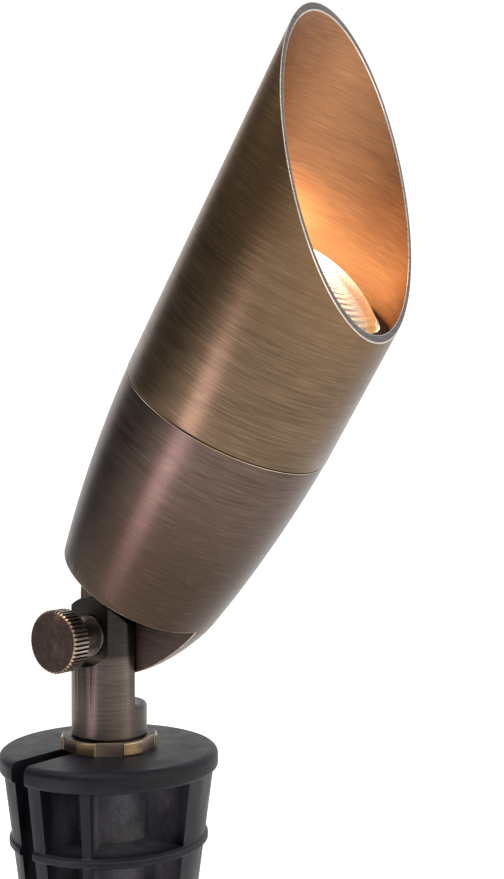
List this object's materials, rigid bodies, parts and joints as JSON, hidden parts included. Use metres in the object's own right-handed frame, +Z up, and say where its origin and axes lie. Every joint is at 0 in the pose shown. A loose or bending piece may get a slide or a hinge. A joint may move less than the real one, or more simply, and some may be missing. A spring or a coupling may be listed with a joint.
{
  "type": "garden spike spotlight",
  "caption": "Bullet-shaped brass spotlight with a long slanted shroud on a tilting knuckle, screwed into a plastic ground stake.",
  "frame": {"origin": "centre of the ground stake's top face, on the axis of the stake and stem, at the ground line", "axes": "+Z up along the stem, +X towards the side that the head leans to, -Y towards the thumb screw"},
  "size_m": [0.1245, 0.0646, 0.4411],
  "materials": {
    "stake_plastic": "charcoal black moulded plastic with a faint pebble",
    "nut_brass": "aged brass, brown flats and golden lugs",
    "stem_bronze": "antique bronze on brass, satin",
    "screw_bronze": "dark antique bronze, knurled",
    "housing_bronze": "antique bronze on brass, brushed round the axis",
    "shroud_bronze": "antique bronze on brass, brushed round the axis",
    "seal_rubber": "black silicone",
    "lens_glass": "clear domed glass with fine rings",
    "lamp_bezel": "dark grey satin paint",
    "lamp_black": "black paint on die-cast aluminium",
    "optic_clear": "clear moulded acrylic",
    "board_white": "white solder mask",
    "led_phosphor": "yellow phosphor",
    "base_plastic": "ivory moulded plastic",
    "pin_steel": "plated pins",
    "socket_ceramic": "unglazed white ceramic",
    "contact_brass": "bright spring brass",
    "bracket_steel": "zinc-plated steel",
    "lead_sleeve": "white silicone sleeve",
    "crimp_sleeve": "red nylon sleeve"
  },
  "bodies": {
    "stake": {"ground_stake": "stake_plastic"},
    "nut": {"lock_nut": "nut_brass"},
    "stem": {"knuckle_stem": "stem_bronze"},
    "washer": {"screw_washer": "screw_bronze"},
    "screw": {"thumb_screw": "screw_bronze"},
    "head": {"housing": "housing_bronze", "glass_lens": "lens_glass", "lens_gasket": "seal_rubber", "lamp_front_ring": "lamp_bezel", "lamp_heatsink": "lamp_black", "lamp_optic": "optic_clear", "lamp_board": "board_white", "lamp_leds": "led_phosphor", "lamp_base": "base_plastic", "lamp_pins": "pin_steel", "lamp_socket": "socket_ceramic", "socket_contacts": "contact_brass", "socket_bracket": "bracket_steel", "socket_screws": "bracket_steel", "bracket_screws": "bracket_steel", "socket_leads": "lead_sleeve", "crimp_connectors": "crimp_sleeve", "cable_grommet": "seal_rubber"},
    "seal": {"shroud_seal": "seal_rubber"},
    "shade": {"shroud": "shroud_bronze"}
  },
  "joints": [
    {"name": "stem_turn", "type": "hinge", "parent": "stake", "child": "stem", "pos_m": [0, 0, 0], "axis": [0, 0, 1], "range_deg": [-180, 180]},
    {"name": "lock_nut_turn", "type": "hinge", "parent": "stake", "child": "nut", "pos_m": [0, 0, 0], "axis": [0, 0, 1], "continuous": true},
    {"name": "head_tilt", "type": "hinge", "parent": "stem", "child": "head", "pos_m": [0, 0, 0.034], "axis": [0, 1, 0], "range_deg": [-120, 45]},
    {"name": "screw_back_off", "type": "slide", "parent": "stem", "child": "washer", "axis": [0, -1, 0], "range_m": [0, 0.003]},
    {"name": "screw_turn", "type": "hinge", "parent": "washer", "child": "screw", "pos_m": [0, 0, 0.034], "axis": [0, -1, 0], "range_deg": [0, 1080]},
    {"name": "shroud_turn", "type": "hinge", "parent": "head", "child": "seal", "pos_m": [0.00185, 0, 0.03281], "axis": [0.5417, 0, 0.8406], "continuous": true},
    {"name": "shroud_slide", "type": "slide", "parent": "seal", "child": "shade", "axis": [0.5417, 0, 0.8406], "range_m": [0, 0.036]}
  ],
  "couplings": [
    {"joint": "screw_turn", "follows": "screw_back_off", "rad_per_m": 6283.2}
  ]
}
